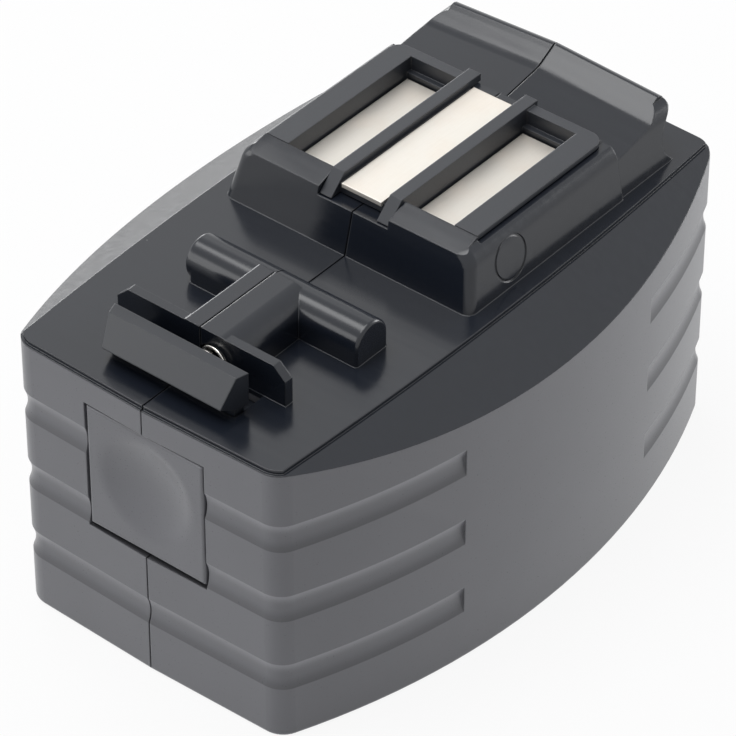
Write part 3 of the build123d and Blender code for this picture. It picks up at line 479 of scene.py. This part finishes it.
class PACK_OT_cells(bpy.types.Operator):
    """Sleeved cells, the card round them and their welded links"""

    bl_idname = "battery_pack.cells"
    bl_label = "Cells"

    def execute(self, context):
        look = context.scene.pack_inside
        cells = sorted(name for name in nodes if name[:5] == "cell_" and name[5:].isdigit())
        dress(cell_sleeve(), *cells)
        dress(card(), "cell_pad_bottom", "cell_pad_top")
        links = plated_metal("link_nickel", look.link_colour, (0.5, 0.48, 0.44), 0.4)
        dress(links, "cell_links_bottom", "cell_links_top")
        return {"FINISHED"}


class PACK_OT_leads(bpy.types.Operator):
    """Leads and the temperature sensor"""

    bl_idname = "battery_pack.leads"
    bl_label = "Leads and Sensor"

    def execute(self, context):
        dress(insulation("lead_red", (0.5, 0.03, 0.02)), "lead_positive")
        dress(insulation("lead_black", (0.02, 0.02, 0.02)), "lead_negative")
        dress(insulation("lead_white", (0.72, 0.72, 0.69)), "sensor_lead")
        dress(moulded_plastic("sensor_body", (0.03, 0.03, 0.035), 0.3, 0.00001), "thermal_sensor")
        return {"FINISHED"}


def lamp(name, power, size, place, target):
    """A soft square lamp turned to a point."""
    data = bpy.data.lights.new(name, "AREA")
    data.energy = power
    data.shape = "SQUARE"
    data.size = size
    item = bpy.data.objects.new(name, data)
    item.location = place
    item.rotation_euler = (target - Vector(place)).to_track_quat("-Z", "Y").to_euler()
    bpy.context.scene.collection.objects.link(item)


def floor_finish(look):
    """A pale floor that shows as white and still keeps the pack's shadow."""
    finish = Finish("studio_floor")
    marks = finish.noise(0.4, 2.0)
    tone = finish.mix(marks, look.floor_colour, tinted(look.floor_colour, 0.985))
    ground = finish.node("BsdfDiffuse", None, {"Color": tone})
    glow = finish.node("Emission", None, {"Color": (1, 1, 1, 1), "Strength": 1.0})
    direct = finish.node("LightPath", output="Is Camera Ray")
    mirrored = finish.node("LightPath", output="Is Glossy Ray")
    surface = finish.node("MixShader", None, {0: (direct + mirrored) * 0.9, 1: ground, 2: glow})
    finish.node("OutputMaterial", None, {"Surface": surface})
    return finish.material


class PACK_OT_stage(bpy.types.Operator):
    """White floor, soft lamps, sky and the photograph's camera"""

    bl_idname = "battery_pack.stage"
    bl_label = "Stage"

    def execute(self, context):
        scene = context.scene
        look = scene.pack_studio
        sheet = bmesh.new()
        bmesh.ops.create_grid(sheet, x_segments=look.floor_cuts, y_segments=look.floor_cuts, size=FLOOR_REACH)
        mesh = bpy.data.meshes.new("studio_floor")
        sheet.to_mesh(mesh)
        sheet.free()
        mesh.materials.append(floor_finish(look))
        floor = bpy.data.objects.new("studio_floor", mesh)
        scene.collection.objects.link(floor)

        target = Vector(AIM)
        for name, size, place in LAMPS:
            lamp(name + "_lamp", getattr(look, name + "_power"), size, place, target)

        world = bpy.data.worlds.new("studio_sky")
        world.use_nodes = True
        tree = world.node_tree
        tree.nodes.clear()
        output = tree.nodes.new("ShaderNodeOutputWorld")
        blend = tree.nodes.new("ShaderNodeMixShader")
        path = tree.nodes.new("ShaderNodeLightPath")
        seen = tree.nodes.new("ShaderNodeMath")
        seen.operation = "MAXIMUM"
        tree.links.new(path.outputs["Is Camera Ray"], seen.inputs[0])
        tree.links.new(path.outputs["Is Glossy Ray"], seen.inputs[1])
        tree.links.new(seen.outputs[0], blend.inputs[0])
        for slot, strength in ((1, look.sky), (2, 1.0)):
            sky = tree.nodes.new("ShaderNodeBackground")
            sky.inputs["Color"].default_value = (1, 1, 1, 1)
            sky.inputs["Strength"].default_value = strength
            tree.links.new(sky.outputs[0], blend.inputs[slot])
        tree.links.new(blend.outputs[0], output.inputs["Surface"])
        scene.world = world

        data = bpy.data.cameras.new("photo_camera")
        data.lens = look.lens
        data.sensor_width = SENSOR_WIDTH
        data.shift_x, data.shift_y = FRAME_SHIFT
        data.clip_start = 0.01
        camera = bpy.data.objects.new("photo_camera", data)
        place = Vector(CAMERA_PLACE)
        turn = (target - place).to_track_quat("-Z", "Y").to_matrix().to_4x4()
        camera.matrix_world = Matrix.Translation(place) @ turn
        scene.collection.objects.link(camera)
        scene.camera = camera
        scene.view_settings.view_transform = "Standard"
        return {"FINISHED"}


OPERATORS = (
    PACK_OT_stage,
    PACK_OT_case,
    PACK_OT_latch,
    PACK_OT_spring,
    PACK_OT_contacts,
    PACK_OT_screws,
    PACK_OT_cells,
    PACK_OT_leads,
)


class PACK_PT_panel(bpy.types.Panel):
    """Everything the pack is made of"""

    bl_label = "Battery Pack"
    bl_idname = "PACK_PT_panel"
    bl_space_type = "VIEW_3D"
    bl_region_type = "UI"
    bl_category = "Battery Pack"

    def draw(self, context):
        for operator in OPERATORS:
            self.layout.operator(operator.bl_idname)
        for name in GROUPS:
            group = getattr(context.scene, name)
            box = self.layout.box()
            for field in group.__annotations__:
                box.prop(group, field)


GROUPS = {
    "pack_case": CaseFinish,
    "pack_latch": LatchFinish,
    "pack_contacts": ContactFinish,
    "pack_inside": InsideFinish,
    "pack_studio": Studio,
}


def register():
    """Add the classes and the settings."""
    for kind in (*GROUPS.values(), *OPERATORS, PACK_PT_panel):
        bpy.utils.register_class(kind)
    for name, kind in GROUPS.items():
        setattr(bpy.types.Scene, name, PointerProperty(type=kind))


def unregister():
    """Take the settings and the classes away."""
    for name in GROUPS:
        delattr(bpy.types.Scene, name)
    for kind in (PACK_PT_panel, *reversed(OPERATORS), *reversed(GROUPS.values())):
        bpy.utils.unregister_class(kind)


def main():
    """Build the whole scene."""
    register()
    for operator in OPERATORS:
        group, name = operator.bl_idname.split(".")
        getattr(getattr(bpy.ops, group), name)()


if __name__ == "__main__":
    main()
